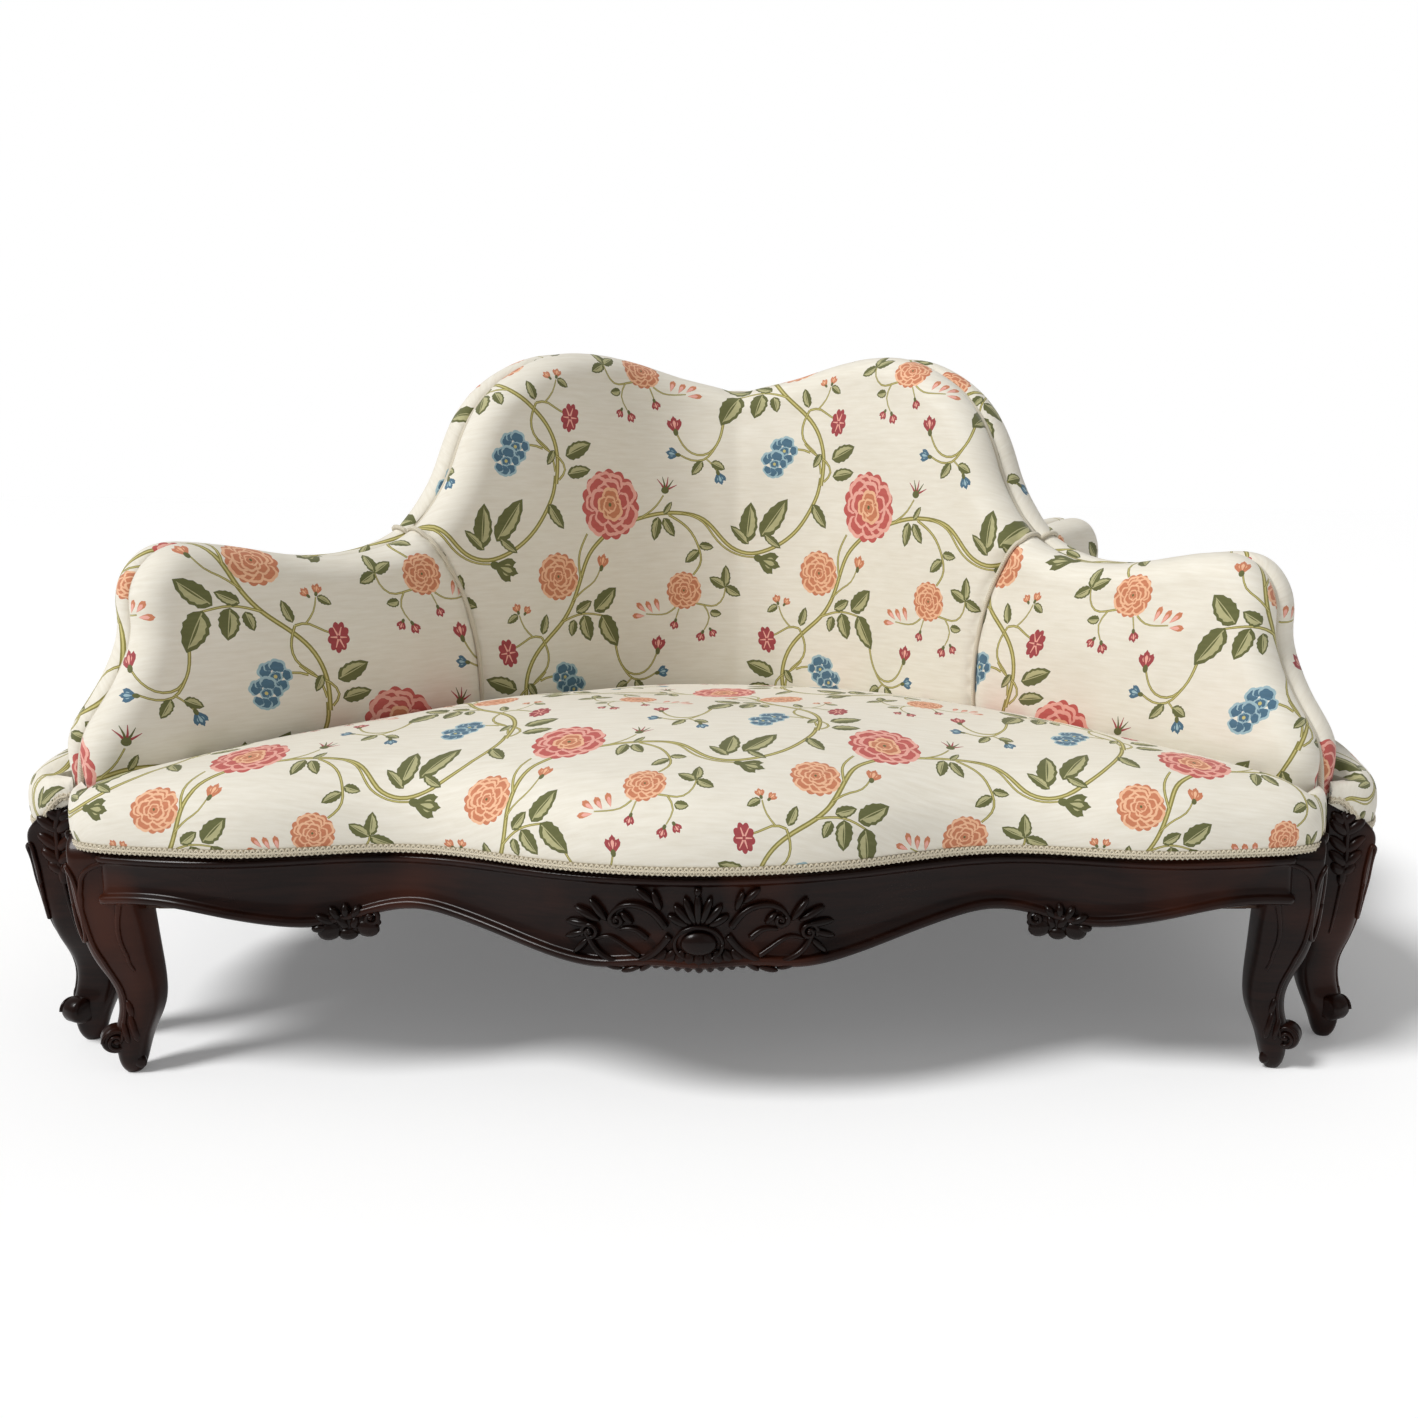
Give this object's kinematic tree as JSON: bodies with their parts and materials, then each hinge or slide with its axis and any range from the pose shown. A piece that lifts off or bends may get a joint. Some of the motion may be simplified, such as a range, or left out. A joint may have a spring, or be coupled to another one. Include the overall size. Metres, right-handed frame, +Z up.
{
  "type": "conversation sofa",
  "caption": "Victorian borne: cabriole corner sofas coupled back to back, with serpentine show rails, humped backs and floral upholstery.",
  "frame": {"origin": "on the floor, on the centre axis where the sections meet", "axes": "+Z up, the front section faces -Y and the right section faces +X"},
  "size_m": [1.981, 1.981, 0.935],
  "materials": {
    "mahogany": "polished dark mahogany",
    "beech": "sawn beech",
    "brocade": "cream woven floral brocade",
    "gimp": "beige gimp braid",
    "calico": "unbleached calico",
    "webbing": "jute webbing",
    "black_cloth": "black platform cloth",
    "steel": "zinc plated"
  },
  "bodies": {
    "root": {"front_seat_rail": "mahogany", "front_rail_carvings": "mahogany", "front_leg_right": "mahogany", "front_leg_left": "mahogany", "front_side_rail_right": "beech", "front_side_rail_left": "beech", "front_wall_frame_right": "beech", "front_wall_frame_left": "beech", "front_seat_pad": "brocade", "front_back_pad": "brocade", "front_arm_pad_right": "brocade", "front_arm_pad_left": "brocade", "right_seat_rail": "mahogany", "right_rail_carvings": "mahogany", "right_leg_right": "mahogany", "right_leg_left": "mahogany", "right_side_rail_right": "beech", "right_side_rail_left": "beech", "right_wall_frame_right": "beech", "right_wall_frame_left": "beech", "right_seat_pad": "brocade", "right_back_pad": "brocade", "right_arm_pad_right": "brocade", "right_arm_pad_left": "brocade", "rear_seat_rail": "mahogany", "rear_rail_carvings": "mahogany", "rear_leg_right": "mahogany", "rear_leg_left": "mahogany", "rear_side_rail_right": "beech", "rear_side_rail_left": "beech", "rear_wall_frame_right": "beech", "rear_wall_frame_left": "beech", "rear_seat_pad": "brocade", "rear_back_pad": "brocade", "rear_arm_pad_right": "brocade", "rear_arm_pad_left": "brocade", "left_seat_rail": "mahogany", "left_rail_carvings": "mahogany", "left_leg_right": "mahogany", "left_leg_left": "mahogany", "left_side_rail_right": "beech", "left_side_rail_left": "beech", "left_wall_frame_right": "beech", "left_wall_frame_left": "beech", "left_seat_pad": "brocade", "left_back_pad": "brocade", "left_arm_pad_right": "brocade", "left_arm_pad_left": "brocade", "corner_posts": "beech", "inner_rails": "beech", "gimp_braids": "gimp", "seat_springs": "calico", "seat_webbing": "webbing", "dust_covers": "black_cloth", "packing_blocks": "beech", "block_screws": "steel", "seam_cords": "brocade", "edge_welts": "brocade", "coupling_bolts": "steel", "coupling_spacers": "beech"}
  },
  "joints": []
}
